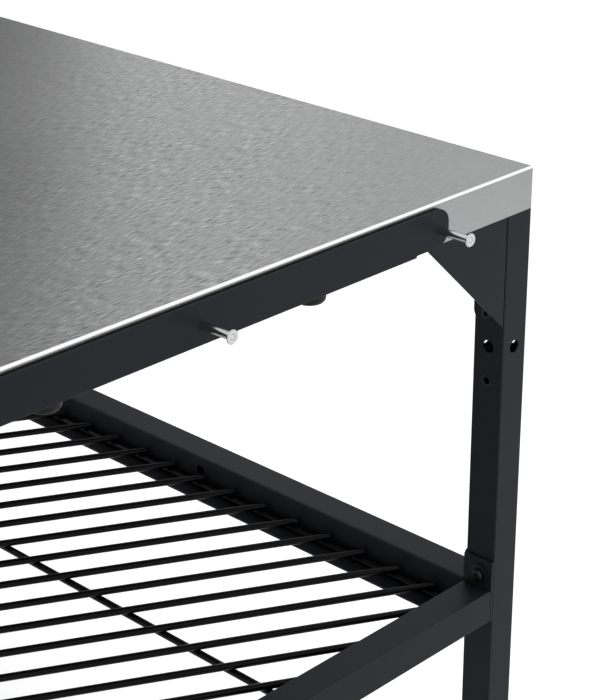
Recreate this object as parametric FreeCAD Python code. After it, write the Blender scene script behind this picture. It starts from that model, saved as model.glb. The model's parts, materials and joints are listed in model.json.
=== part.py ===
# An outdoor table for a pizza oven: a folded stainless worktop on a bolted frame of
# square steel tube, with a wire rack below, a rail with three pegs along the front
# and four swivel castors with brakes.
# Millimetres. +X runs to the right along the front edge, +Y to the back, +Z up.
# The origin is on the floor, in the middle of the whole table with its pegs.

import FreeCAD, Part
import math
import os

# Overall size
WIDTH = 966.0
DEPTH = 1040.0
HEIGHT = 900.0

# Worktop: one sheet with a skirt folded down on all four sides
SHEET = 1.0
SKIRT = 46.5
TRAY_FIT = 0.3
STUD_RADIUS = 3.0
STUD_FROM_MIDDLE = 250.0

# Square tube of legs and shelf, and the wall of every tube
TUBE = 40.0
TUBE_WALL = 2.0
TUBE_CORNER = 2.0
LEG_INSET = 0.5

# Channels that carry the middle of the worktop
CROSSBAR_X = 158.0
CROSSBAR_WIDTH = 40.0
CROSSBAR_HEIGHT = 20.0
CROSSBAR_WALL = 2.0

# Accessory holes in the legs, below the top of the table
CROSS_HOLE_DROP = 201.0
CROSS_HOLE_RADIUS = 7.5
INSERT_DROP = 241.0
INSERT_RADIUS = 5.6
INSERT_BORE = 4.25
INSERT_LENGTH = 12.0
INSERT_FLANGE_RADIUS = 6.6
INSERT_FLANGE = 0.6
INSERT_FIT = 0.05

# Gussets between legs and top rails
GUSSET_SHEET = 2.0
GUSSET_REACH = 126.0
GUSSET_DROP = 125.0
GUSSET_TIP = 4.5
GUSSET_BEND = 2.5
GUSSET_CORNER = 9.0
GUSSET_FLANGE_MARGIN = 1.0
GUSSET_BOLT_FROM_TIP = 11.0
GUSSET_BOLTS_APART = 84.0
RAIL_BOLT_FROM_LEG = 78.0

# Button-head bolts and what they go through
BOLT_RADIUS = 4.0
BOLT_HEAD_RADIUS = 7.0
BOLT_HEAD_HEIGHT = 4.4
BOLT_SOCKET = 5.0
BOLT_SOCKET_DEPTH = 2.6
BOLT_HOLE_FIT = 0.4
THREAD_FIT = 0.05
NUT_RADIUS = 7.0
NUT_LENGTH = 7.0
BOLT_STICK_OUT = 1.0
WASHER_RADIUS = 12.0
WASHER_THICKNESS = 2.0

# Shelf frame and its wire rack: the drop is from the top of the table to the rails
SHELF_DROP = 498.0
END_PLATE = 3.0
END_PLATE_HEIGHT = 77.0
END_PLATE_CORNER = 6.0
WELD_GROOVE = 1.2
WELD_GROOVE_WIDTH = 1.0
SHELF_BOLT_RISE = 16.5
SHELF_BOLT_OUTWARD = 2.0
LEDGE_BELOW_RAIL_TOP = 37.0
LEDGE_SHEET = 3.0
LEDGE_REACH = 33.0
DRAIN_HOLE_RADIUS = 7.5
DRAIN_HOLE_FROM_FRONT = 483.0
DRAIN_HOLE_BELOW_RAIL_TOP = 20.0
WIRE = 8.5
WIRE_ANGLE = 29.5
WIRE_PITCH = 55.7
WIRE_START = 83.5
WIRE_SHORTEST = 70.0
WIRE_WELD_GAP = 0.05
RACK_FIT = 6.0
RACK_LIFT_GAP = 0.3
INNER_WIRE_FROM_END = 275.0

# Rail along the front, and the pegs on it
PEG_RAIL_SHEET = 3.0
PEG_RAIL_GAP = 1.5
PEG_RAIL_DROP = 6.0
PEG_RAIL_CORNER = 17.0
PEG_RAIL_BEND = 2.0
PEG_RAIL_MARGIN = 12.0
PEG_RAIL_LIP_FROM_END = 191.0
PEG_RAIL_LIP_CORNER = 6.0
PEG_RAIL_LIP_DEPTH = 45.0
PEG_RAIL_HOLE_FIT = 0.4
PEG_FROM_END = 155.0
PEG_DROP = 29.6
PEG_LENGTH = 39.0
PEG_RADIUS = 4.0
PEG_HEAD_RADIUS = 7.0
PEG_HEAD = 2.4
PEG_DIMPLE_RADIUS = 3.6
PEG_DIMPLE_DEPTH = 1.2
PEG_SPIGOT_RADIUS = 2.6
PEG_RIVET_RADIUS = 4.0
PEG_RIVET = 1.2

# Knobs that clamp the rail from below
KNOB_RADIUS = 16.0
KNOB_HEIGHT = 12.5
KNOB_NECK_RADIUS = 11.0
KNOB_NECK = 2.0
KNOB_ROUND = 5.5
KNOB_STUD_RADIUS = 4.0
KNOB_STUD_LENGTH = 22.0
KNOB_WASHER_RADIUS = 10.0
KNOB_WASHER = 1.5
KNOB_HOLE_FIT = 0.3
KNOB_NUT_LENGTH = 10.0

# Castors, from the floor up
WHEEL_RADIUS = 37.5
WHEEL_WIDTH = 25.0
TYRE_SHOULDER = 4.0
HUB_RADIUS = 27.0
HUB_WEB = 10.0
HUB_RIM = 4.0
HUB_BOSS_RADIUS = 11.0
TRAIL = 28.0
AXLE_RADIUS = 4.0
AXLE_FIT = 0.05
AXLE_HEAD_RADIUS = 7.5
AXLE_HEAD = 4.0
CHEEK = 2.5
CHEEK_GAP = 1.5
CHEEK_BOSS_RADIUS = 12.0
CROWN_HEIGHT = 86.0
CROWN_BACK = 21.0
CROWN_SHEET = 2.5
BRAKE_PIVOT_BACK = 44.0
BRAKE_PIVOT_HEIGHT = 80.0
BRAKE_PIN_RADIUS = 2.5
BRAKE_HUB_RADIUS = 4.5
BRAKE_PEDAL = 3.0
BRAKE_PEDAL_LENGTH = 34.0
BRAKE_GAP = 0.3
BRAKE_SIDE_GAP = 0.8
BRAKE_TRAVEL = 16.0
HEAD_RADIUS = 20.0
HEAD_HEIGHT = 8.0
HEAD_BORE = 6.0
SWIVEL_GAP = 0.3
SWIVEL_FIT = 0.05
RACE_RADIUS = 19.0
RACE_HEIGHT = 3.0
RIVET_RADIUS = 9.0
RIVET_HEIGHT = 3.0
STEM_RADIUS = 5.0
STEM_LENGTH = 25.0
STEM_NUT = 17.0
STEM_NUT_HEIGHT = 3.0
PLUG_FLANGE = 3.0
PLUG_DEPTH = 30.0
PLUG_FIT = 0.1

# Places that follow from these sizes
CASTOR_HEIGHT = CROWN_HEIGHT + HEAD_HEIGHT + SWIVEL_GAP + RACE_HEIGHT + STEM_NUT_HEIGHT
PEG_REACH = PEG_RAIL_GAP + PEG_RAIL_SHEET + PEG_LENGTH
FRONT = -(DEPTH - PEG_REACH) / 2
MIDDLE = FRONT + DEPTH / 2
TRAY_BEND = SHEET + TUBE_CORNER
TRAY_UNDER = HEIGHT - SHEET
SKIRT_BOTTOM = HEIGHT - SKIRT
INSET = SHEET + TRAY_FIT
LEG_X = WIDTH / 2 - LEG_INSET - TUBE / 2
LEG_Y = FRONT + LEG_INSET + TUBE / 2
LEG_INNER_X = LEG_X - TUBE / 2
LEG_INNER_Y = LEG_Y + TUBE / 2
LEG_FRONT = LEG_Y - TUBE / 2
LEG_BOTTOM = CASTOR_HEIGHT + PLUG_FLANGE
RAIL_HEIGHT = TRAY_UNDER - SKIRT_BOTTOM
RAIL_X = WIDTH / 2 - INSET - TUBE / 2
RAIL_Y = FRONT + INSET + TUBE / 2
RAIL_INNER_Y = RAIL_Y + TUBE / 2
SHELF_TOP = HEIGHT - SHELF_DROP
SHELF_BOTTOM = SHELF_TOP - TUBE
SHELF_BOLT_LEVEL = SHELF_TOP + SHELF_BOLT_RISE
SHELF_BOLT_Y = LEG_Y - SHELF_BOLT_OUTWARD
LEDGE_TOP = SHELF_TOP - LEDGE_BELOW_RAIL_TOP
BRAKE_TO_AXLE = math.hypot(BRAKE_PIVOT_BACK - TRAIL, BRAKE_PIVOT_HEIGHT - WHEEL_RADIUS)
BRAKE_LOBE = BRAKE_TO_AXLE - WHEEL_RADIUS - BRAKE_GAP
PEG_PITCH = WIDTH / 2 - PEG_FROM_END
KNOB_X = PEG_PITCH / 2
PEG_FACE = FRONT - PEG_RAIL_GAP - PEG_RAIL_SHEET
LIP_BOTTOM = SKIRT_BOTTOM - PEG_RAIL_SHEET
BOLT_HOLE = BOLT_RADIUS + BOLT_HOLE_FIT

UP = FreeCAD.Vector(0, 0, 1)


def vec(x, y, z):
    return FreeCAD.Vector(x, y, z)


def box(low, high):
    """A block between two opposite corners."""
    size = [high[i] - low[i] for i in range(3)]
    return Part.makeBox(size[0], size[1], size[2], vec(*low))


def rod(radius, start, end):
    """A round bar between two points."""
    run = vec(*end) - vec(*start)
    return Part.makeCylinder(radius, run.Length, vec(*start), run)


def ring(outer, inner, start, end):
    """A round bar with a hole along it."""
    return rod(outer, start, end).cut(rod(inner, start, end))


def rounded_outline(width, height, radius):
    """A rectangle with round corners about the origin, as a closed wire in the XY plane."""
    x = width / 2
    y = height / 2
    in_x = x - radius
    in_y = y - radius
    reach = radius * math.sqrt(0.5)
    edges = []
    for sx, sy in ((1, -1), (1, 1), (-1, 1), (-1, -1)):
        first = vec(sx * in_x, sy * y, 0)
        middle = vec(sx * (in_x + reach), sy * (in_y + reach), 0)
        last = vec(sx * x, sy * in_y, 0)
        if sx * sy > 0:
            first, last = last, first
        edges.append(Part.Arc(first, middle, last).toShape())
    lines = []
    for i in range(4):
        start = edges[i].Vertexes[-1].Point
        end = edges[(i + 1) % 4].Vertexes[0].Point
        lines.append(Part.LineSegment(start, end).toShape())
    ordered = []
    for arc, line in zip(edges, lines):
        ordered.append(arc)
        ordered.append(line)
    return Part.Wire(ordered)


def tube(width, height, length):
    """A tube standing on the XY plane, width along X and height along Y."""
    outer = Part.Face(rounded_outline(width, height, TUBE_CORNER))
    inner_corner = max(TUBE_CORNER - TUBE_WALL, TUBE_CORNER / 4)
    bore = Part.Face(rounded_outline(width - 2 * TUBE_WALL, height - 2 * TUBE_WALL, inner_corner))
    return outer.cut(bore).extrude(vec(0, 0, length))


def tube_along_x(height, depth, start, end, y, z):
    """A tube between two values of X, its centre line at y and z."""
    shape = tube(height, depth, end - start)
    shape.rotate(vec(0, 0, 0), vec(0, 1, 0), 90)
    shape.translate(vec(start, y, z))
    return shape


def tube_along_y(width, height, start, end, x, z):
    """A tube between two values of Y, its centre line at x and z."""
    shape = tube(width, height, end - start)
    shape.rotate(vec(0, 0, 0), vec(1, 0, 0), -90)
    shape.translate(vec(x, start, z))
    return shape


def plate(points, thickness, plane):
    """A flat plate from its outline: points are (across, up), plane is where it lies.
    plane 'x' spreads the outline over Y and Z, plane 'y' over X and Z; the plate starts
    at zero and grows along the plane's own axis."""
    if plane == "x":
        corners = [vec(0, a, b) for a, b in points]
        grow = vec(thickness, 0, 0)
    else:
        corners = [vec(a, 0, b) for a, b in points]
        grow = vec(0, thickness, 0)
    return Part.Face(Part.makePolygon(corners + corners[:1])).extrude(grow)


def turned(profile, centre, axis):
    """A round piece: profile is (radius, height) points, spun about an axis at centre."""
    corners = [vec(r, 0, h) for r, h in profile]
    shape = Part.Face(Part.makePolygon(corners + corners[:1])).revolve(vec(0, 0, 0), UP, 360)
    shape = Part.makeSolid(shape) if shape.ShapeType != "Solid" else shape
    shape.Placement = FreeCAD.Placement(vec(*centre), FreeCAD.Rotation(UP, vec(*axis)))
    return shape


def rounded(shape, radius, wanted):
    """Round the straight edges for which wanted(middle point, direction) is true."""
    chosen = []
    for edge in shape.Edges:
        if not isinstance(edge.Curve, Part.Line):
            continue
        first = edge.Vertexes[0].Point
        last = edge.Vertexes[-1].Point
        direction = (last - first).normalize()
        if wanted((first + last) * 0.5, direction):
            chosen.append(edge)
    return shape.makeFillet(radius, chosen)


def near(a, b):
    return abs(a - b) < 0.01


def mirror_x(shape):
    return shape.mirror(vec(0, 0, 0), vec(1, 0, 0))


def mirror_y(shape):
    return shape.mirror(vec(0, MIDDLE, 0), vec(0, 1, 0))


def other_way(shape):
    """Swap the X way and the Y way at the front right leg."""
    return shape.mirror(vec(LEG_X, LEG_Y, 0), vec(1, 1, 0))


def at_legs(shape):
    """Copies at the four legs of a piece drawn at the front right one, by corner name."""
    left = mirror_x(shape)
    return {
        "front_right": shape,
        "front_left": left,
        "back_right": mirror_y(shape),
        "back_left": mirror_y(left),
    }


def save(name, *solids):
    """Write one node, as one solid or as a group of separate solids."""
    shape = solids[0] if len(solids) == 1 else Part.makeCompound(list(solids))
    shape.exportStep("parts/" + name + ".step")


def button_bolt(length, centre, axis):
    """A button-head bolt: its head sits on centre and points along axis."""
    flat = BOLT_HEAD_RADIUS * 0.55
    profile = [(0, -length), (BOLT_RADIUS, -length), (BOLT_RADIUS, 0), (BOLT_HEAD_RADIUS, 0)]
    steps = 4
    for i in range(steps + 1):
        angle = math.radians(90.0 * i / steps)
        radius = flat + (BOLT_HEAD_RADIUS - flat) * math.cos(angle)
        height = BOLT_HEAD_HEIGHT * (0.25 + 0.75 * math.sin(angle))
        profile.append((radius, height))
    profile.append((0, BOLT_HEAD_HEIGHT))
    bolt = turned(profile, (0, 0, 0), (0, 0, 1))
    corners = []
    for i in range(7):
        angle = math.radians(60.0 * i)
        corner_radius = BOLT_SOCKET / math.sqrt(3)
        x = corner_radius * math.cos(angle)
        y = corner_radius * math.sin(angle)
        corners.append(vec(x, y, BOLT_HEAD_HEIGHT - BOLT_SOCKET_DEPTH))
    socket = Part.Face(Part.makePolygon(corners)).extrude(vec(0, 0, BOLT_SOCKET_DEPTH + 1))
    bolt = bolt.cut(socket)
    bolt.Placement = FreeCAD.Placement(vec(*centre), FreeCAD.Rotation(UP, vec(*axis)))
    return bolt


def crossbar_ends():
    """Where the channels under the worktop start and stop, between the top rails."""
    return RAIL_INNER_Y, 2 * MIDDLE - RAIL_INNER_Y


def stud_places():
    return [(sx * CROSSBAR_X, MIDDLE + sy * STUD_FROM_MIDDLE) for sx in (-1, 1) for sy in (-1, 1)]


def make_worktop():
    outer = box((-WIDTH / 2, FRONT, SKIRT_BOTTOM), (WIDTH / 2, FRONT + DEPTH, HEIGHT))
    outer = rounded(outer, TRAY_BEND, lambda p, d: near(abs(d.z), 1) or near(p.z, HEIGHT))
    low = (-WIDTH / 2 + SHEET, FRONT + SHEET, SKIRT_BOTTOM - SKIRT)
    high = (WIDTH / 2 - SHEET, FRONT + DEPTH - SHEET, TRAY_UNDER)
    inside_bend = TRAY_BEND - SHEET
    inner = rounded(box(low, high), inside_bend, lambda p, d: near(abs(d.z), 1) or near(p.z, TRAY_UNDER))
    tray = outer.cut(inner)
    stud_end = TRAY_UNDER - CROSSBAR_WALL - NUT_LENGTH - BOLT_STICK_OUT
    for x, y in stud_places():
        tray = tray.fuse(rod(STUD_RADIUS, (x, y, TRAY_UNDER + SHEET / 2), (x, y, stud_end)))
    save("worktop", tray)


def make_crossbars():
    start, end = crossbar_ends()
    bars = []
    for sx in (-1, 1):
        x = sx * CROSSBAR_X
        half = CROSSBAR_WIDTH / 2
        low = TRAY_UNDER - CROSSBAR_HEIGHT
        bar = box((x - half, start, low), (x + half, end, TRAY_UNDER))
        room = half - CROSSBAR_WALL
        ceiling = TRAY_UNDER - CROSSBAR_WALL
        bar = bar.cut(box((x - room, start - 1, low - 1), (x + room, end + 1, ceiling)))
        for stud_x, stud_y in stud_places():
            hole = rod(STUD_RADIUS + BOLT_HOLE_FIT, (stud_x, stud_y, low - 1), (stud_x, stud_y, HEIGHT))
            bar = bar.cut(hole)
        bars.append(bar)
    save("top_crossbars", *bars)
    top = TRAY_UNDER - CROSSBAR_WALL
    bore = STUD_RADIUS + THREAD_FIT
    nuts = []
    for x, y in stud_places():
        flange = rod(NUT_RADIUS, (x, y, top), (x, y, top - NUT_LENGTH / 4))
        body = rod(NUT_RADIUS * 0.8, (x, y, top), (x, y, top - NUT_LENGTH))
        nuts.append(flange.fuse(body).cut(rod(bore, (x, y, top), (x, y, top - NUT_LENGTH))))
    save("worktop_nuts", *nuts)


def rail_bolt_place():
    """Where the gusset's top flange is bolted to the rail above it."""
    return LEG_INNER_X - RAIL_BOLT_FROM_LEG, LEG_Y


def make_top_rails():
    z = (TRAY_UNDER + SKIRT_BOTTOM) / 2
    end_x = WIDTH / 2 - TRAY_BEND - TRAY_FIT
    front = tube_along_x(RAIL_HEIGHT, TUBE, -end_x, end_x, RAIL_Y, z)
    x, y = rail_bolt_place()
    drill_up = SKIRT_BOTTOM + TUBE_WALL + 1
    for sx in (-1, 1):
        front = front.cut(rod(BOLT_HOLE, (sx * x, y, SKIRT_BOTTOM - 1), (sx * x, y, drill_up)))
    back = mirror_y(front)
    for sx in (-1, 1):
        place = sx * KNOB_X
        hole = KNOB_STUD_RADIUS + KNOB_HOLE_FIT
        front = front.cut(rod(hole, (place, y, SKIRT_BOTTOM - 1), (place, y, drill_up)))
    save("top_rail_front", front)
    save("top_rail_back", back)
    start, end = crossbar_ends()
    right = tube_along_y(TUBE, RAIL_HEIGHT, start, end, RAIL_X, z)
    hole = other_way(rod(BOLT_HOLE, (x, y, SKIRT_BOTTOM - 1), (x, y, drill_up)))
    right = right.cut(hole).cut(mirror_y(hole))
    save("top_rail_right", right)
    save("top_rail_left", mirror_x(right))


def gusset_bolt_levels():
    low = SKIRT_BOTTOM - GUSSET_DROP + GUSSET_BOLT_FROM_TIP
    return low, low + GUSSET_BOLTS_APART


def gusset():
    """The bent bracket between the front right leg and the front rail."""
    depth = TUBE - GUSSET_FLANGE_MARGIN
    tip = SKIRT_BOTTOM - GUSSET_DROP
    outline = [
        (LEG_INNER_X, SKIRT_BOTTOM),
        (LEG_INNER_X, tip),
        (LEG_INNER_X - GUSSET_SHEET, tip),
        (LEG_INNER_X - GUSSET_REACH, SKIRT_BOTTOM - GUSSET_TIP),
        (LEG_INNER_X - GUSSET_REACH, SKIRT_BOTTOM),
    ]
    web = plate(outline, GUSSET_SHEET, "y")
    web.translate(vec(0, LEG_FRONT, 0))
    back = LEG_FRONT + depth
    leg_side = box((LEG_INNER_X - GUSSET_SHEET, LEG_FRONT, tip), (LEG_INNER_X, back, SKIRT_BOTTOM))
    leg_side = rounded(
        leg_side,
        GUSSET_CORNER,
        lambda p, d: near(abs(d.x), 1) and near(p.y, back) and near(p.z, tip),
    )
    far = LEG_INNER_X - GUSSET_REACH
    rail_side = box((far, LEG_FRONT, SKIRT_BOTTOM - GUSSET_SHEET), (LEG_INNER_X, back, SKIRT_BOTTOM))
    rail_side = rounded(
        rail_side,
        GUSSET_CORNER,
        lambda p, d: near(abs(d.z), 1) and near(p.y, back) and near(p.x, far),
    )
    shape = web.fuse([leg_side, rail_side]).removeSplitter()
    shape = rounded(
        shape,
        GUSSET_BEND,
        lambda p, d: near(abs(d.z), 1) and near(p.x, LEG_INNER_X) and near(p.y, LEG_FRONT),
    )
    for z in gusset_bolt_levels():
        shape = shape.cut(rod(BOLT_HOLE, (LEG_INNER_X - TUBE, LEG_Y, z), (LEG_X, LEG_Y, z)))
    x, y = rail_bolt_place()
    return shape.cut(rod(BOLT_HOLE, (x, y, SKIRT_BOTTOM - TUBE), (x, y, SKIRT_BOTTOM + 1)))


def gusset_bolts():
    """Bolts and nuts of that bracket: bolts first, then nuts."""
    bolts = []
    nuts = []
    length = GUSSET_SHEET + TUBE_WALL + NUT_LENGTH + BOLT_STICK_OUT
    bore = BOLT_RADIUS + THREAD_FIT
    for z in gusset_bolt_levels():
        bolts.append(button_bolt(length, (LEG_INNER_X - GUSSET_SHEET, LEG_Y, z), (-1, 0, 0)))
        inside = LEG_INNER_X + TUBE_WALL
        nuts.append(ring(NUT_RADIUS, bore, (inside, LEG_Y, z), (inside + NUT_LENGTH, LEG_Y, z)))
    x, y = rail_bolt_place()
    bolts.append(button_bolt(length, (x, y, SKIRT_BOTTOM - GUSSET_SHEET), (0, 0, -1)))
    inside = SKIRT_BOTTOM + TUBE_WALL
    nuts.append(ring(NUT_RADIUS, bore, (x, y, inside), (x, y, inside + NUT_LENGTH)))
    return bolts, nuts


def shelf_bolt():
    """Bolt, washer and nut of the front shelf rail at the front right leg."""
    y = SHELF_BOLT_Y
    z = SHELF_BOLT_LEVEL
    seat = LEG_INNER_X - END_PLATE
    top = seat - WASHER_THICKNESS
    inside = LEG_INNER_X + TUBE_WALL
    length = WASHER_THICKNESS + END_PLATE + TUBE_WALL + NUT_LENGTH + BOLT_STICK_OUT
    bolt = button_bolt(length, (top, y, z), (-1, 0, 0))
    washer = ring(WASHER_RADIUS, BOLT_HOLE, (seat, y, z), (top, y, z))
    nut = ring(NUT_RADIUS, BOLT_RADIUS + THREAD_FIT, (inside, y, z), (inside + NUT_LENGTH, y, z))
    return bolt, washer, nut


def end_plate():
    """The plate on the end of the front shelf rail, at the front right leg."""
    top = SHELF_BOTTOM + END_PLATE_HEIGHT
    shape = box((LEG_INNER_X - END_PLATE, LEG_FRONT, SHELF_BOTTOM), (LEG_INNER_X, LEG_INNER_Y, top))
    shape = rounded(
        shape,
        END_PLATE_CORNER,
        lambda p, d: near(abs(d.x), 1) and near(p.z, top) and near(p.y, LEG_INNER_Y),
    )
    z = SHELF_BOLT_LEVEL
    return shape.cut(rod(BOLT_HOLE, (LEG_INNER_X - TUBE, SHELF_BOLT_Y, z), (LEG_X, SHELF_BOLT_Y, z)))


def wall_holes():
    """Drillings for bolts in the two inner faces of the front right leg."""
    places = [(LEG_Y, level) for level in gusset_bolt_levels()] + [(SHELF_BOLT_Y, SHELF_BOLT_LEVEL)]
    holes = []
    for y, z in places:
        hole = rod(BOLT_HOLE, (LEG_INNER_X - 1, y, z), (LEG_INNER_X + TUBE_WALL + 1, y, z))
        holes.append(hole)
        holes.append(other_way(hole))
    return holes


def make_legs():
    leg = tube(TUBE, TUBE, SKIRT_BOTTOM - LEG_BOTTOM)
    leg.translate(vec(LEG_X, LEG_Y, LEG_BOTTOM))
    z = HEIGHT - CROSS_HOLE_DROP
    along_x = rod(CROSS_HOLE_RADIUS, (LEG_X - TUBE, LEG_Y, z), (LEG_X + TUBE, LEG_Y, z))
    leg = leg.cut([along_x, other_way(along_x)] + wall_holes())
    z = HEIGHT - INSERT_DROP
    inside = LEG_INNER_X + TUBE_WALL + 1
    leg = leg.cut(rod(INSERT_RADIUS, (LEG_INNER_X - 1, LEG_Y, z), (inside, LEG_Y, z)))
    for corner, shape in at_legs(leg).items():
        save("leg_" + corner, shape)
    flange_top = LEG_INNER_X - INSERT_FLANGE
    body_radius = INSERT_RADIUS - INSERT_FIT
    end = LEG_INNER_X + INSERT_LENGTH
    insert = rod(body_radius, (flange_top, LEG_Y, z), (end, LEG_Y, z))
    insert = insert.fuse(rod(INSERT_FLANGE_RADIUS, (flange_top, LEG_Y, z), (LEG_INNER_X, LEG_Y, z)))
    insert = insert.cut(rod(INSERT_BORE, (flange_top - 1, LEG_Y, z), (end + 1, LEG_Y, z)))
    save("leg_inserts", *at_legs(insert).values())


def make_gussets_and_bolts():
    """Gussets by leg, then every bolt, washer and nut of the frame in its own group."""
    pieces = [gusset(), other_way(gusset())]
    copies = [at_legs(piece) for piece in pieces]
    for corner in copies[0]:
        save("gussets_" + corner, *[copy[corner] for copy in copies])
    bolts, nuts = gusset_bolts()
    bolt, washer, nut = shelf_bolt()
    groups = {
        "gusset_bolts": bolts,
        "shelf_bolts": [bolt],
        "shelf_washers": [washer],
        "frame_nuts": nuts + [nut],
        "shelf_end_plates": [end_plate()],
    }
    for name, shapes in groups.items():
        everywhere = []
        for shape in shapes + [other_way(shape) for shape in shapes]:
            everywhere.extend(at_legs(shape).values())
        if name == "frame_nuts":
            everywhere.extend(knob_nuts())
        save(name, *everywhere)


def weld_groove():
    """What is taken off the outside of the front shelf rail's right end, for its weld."""
    reach = LEG_INNER_X - END_PLATE
    start = reach - WELD_GROOVE_WIDTH
    slab = box((start, LEG_FRONT - 1, SHELF_BOTTOM - 1), (reach, LEG_INNER_Y + 1, SHELF_TOP + 1))
    low = (start - 1, LEG_FRONT + WELD_GROOVE, SHELF_BOTTOM + WELD_GROOVE)
    high = (reach + 1, LEG_INNER_Y - WELD_GROOVE, SHELF_TOP - WELD_GROOVE)
    return slab.cut(box(low, high))


def make_shelf_frame():
    z = SHELF_TOP - TUBE / 2
    reach = LEG_INNER_X - END_PLATE
    front = tube_along_x(TUBE, TUBE, -reach, reach, LEG_Y, z)
    groove = weld_groove()
    front = front.cut([groove, mirror_x(groove)])
    save("shelf_rail_front", front)
    save("shelf_rail_back", mirror_y(front))
    start = LEG_INNER_Y + END_PLATE
    end = 2 * MIDDLE - start
    right = tube_along_y(TUBE, TUBE, start, end, LEG_X, z)
    side_groove = other_way(groove)
    right = right.cut([side_groove, mirror_y(side_groove)])
    hole_y = FRONT + DRAIN_HOLE_FROM_FRONT
    hole_z = SHELF_TOP - DRAIN_HOLE_BELOW_RAIL_TOP
    right = right.cut(rod(DRAIN_HOLE_RADIUS, (LEG_INNER_X - 1, hole_y, hole_z), (LEG_X, hole_y, hole_z)))
    save("shelf_rail_right", right)
    save("shelf_rail_left", mirror_x(right))
    low = LEDGE_TOP - LEDGE_SHEET
    ledge_in = LEG_INNER_Y + LEDGE_REACH
    front = box((-LEG_INNER_X, LEG_INNER_Y, low), (LEG_INNER_X, ledge_in, LEDGE_TOP))
    save("shelf_ledge_front", front)
    save("shelf_ledge_back", mirror_y(front))
    far = 2 * MIDDLE - ledge_in
    right = box((LEG_INNER_X - LEDGE_REACH, ledge_in, low), (LEG_INNER_X, far, LEDGE_TOP))
    save("shelf_ledge_right", right)
    save("shelf_ledge_left", mirror_x(right))


def make_rack():
    """Slanting wires, cut off flush with the outline, over cross wires that rest on the ledges."""
    half = LEG_INNER_X - RACK_FIT
    front = LEG_INNER_Y + RACK_FIT
    back = 2 * MIDDLE - front
    lower = LEDGE_TOP + RACK_LIFT_GAP + WIRE / 2
    upper = lower + WIRE + WIRE_WELD_GAP
    outline = box((-half, front, upper - WIRE), (half, back, upper + WIRE))
    slant = math.radians(WIRE_ANGLE)
    rise = math.tan(slant)
    first = math.ceil((front - 2 * half * rise - FRONT - WIRE_START) / WIRE_PITCH)
    last = math.floor((back - FRONT - WIRE_START) / WIRE_PITCH)
    wires = []
    for k in range(first, last + 1):
        y_right = FRONT + WIRE_START + k * WIRE_PITCH
        x_low = half - max(0.0, front - y_right) / rise
        x_high = half - min(2 * half, (back - y_right) / rise)
        if (x_low - x_high) / math.cos(slant) < WIRE_SHORTEST:
            continue
        start = (x_high - WIRE, y_right + (half - x_high + WIRE) * rise, upper)
        end = (x_low + WIRE, y_right + (half - x_low - WIRE) * rise, upper)
        wires.append(rod(WIRE / 2, start, end).common(outline))
    save("rack_wires", *wires)
    end_x = half - WIRE / 2
    places = [end_x, end_x - INNER_WIRE_FROM_END]
    cross = []
    for x in places + [-x for x in places]:
        cross.append(rod(WIRE / 2, (x, front, lower), (x, back, lower)))
    save("rack_cross_wires", *cross)


def make_peg_rail():
    """The rail along the front: an upright strip with a lip that runs under the top rail."""
    length = 2 * (PEG_PITCH + PEG_RAIL_MARGIN)
    height = HEIGHT - PEG_RAIL_DROP - SKIRT_BOTTOM
    strip = Part.Face(rounded_outline(length, height, PEG_RAIL_CORNER)).extrude(vec(0, 0, PEG_RAIL_SHEET))
    strip.rotate(vec(0, 0, 0), vec(1, 0, 0), 90)
    strip.translate(vec(0, PEG_FACE + PEG_RAIL_SHEET, SKIRT_BOTTOM + height / 2))
    half = WIDTH / 2 - PEG_RAIL_LIP_FROM_END
    back = PEG_FACE + PEG_RAIL_LIP_DEPTH
    lip = box((-half, PEG_FACE, LIP_BOTTOM), (half, back, SKIRT_BOTTOM))
    lip = rounded(
        lip,
        PEG_RAIL_BEND,
        lambda p, d: near(abs(d.x), 1) and near(p.z, LIP_BOTTOM) and near(p.y, PEG_FACE),
    )
    lip = rounded(lip, PEG_RAIL_LIP_CORNER, lambda p, d: near(abs(d.z), 1) and near(p.y, back))
    bridge = box(
        (-half, PEG_FACE, SKIRT_BOTTOM - PEG_RAIL_SHEET / 2),
        (half, PEG_FACE + PEG_RAIL_SHEET, SKIRT_BOTTOM + PEG_RAIL_SHEET),
    )
    rail = strip.fuse([lip, bridge]).removeSplitter()
    hole = KNOB_STUD_RADIUS + PEG_RAIL_HOLE_FIT
    for sx in (-1, 1):
        x = sx * KNOB_X
        rail = rail.cut(rod(hole, (x, LEG_Y, LIP_BOTTOM - 1), (x, LEG_Y, SKIRT_BOTTOM + 1)))
    z = HEIGHT - PEG_DROP
    for i in (-1, 0, 1):
        x = i * PEG_PITCH
        rail = rail.cut(rod(PEG_SPIGOT_RADIUS, (x, PEG_FACE - 1, z), (x, PEG_FACE + PEG_RAIL_SHEET + 1, z)))
    save("peg_rail", rail)


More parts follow.
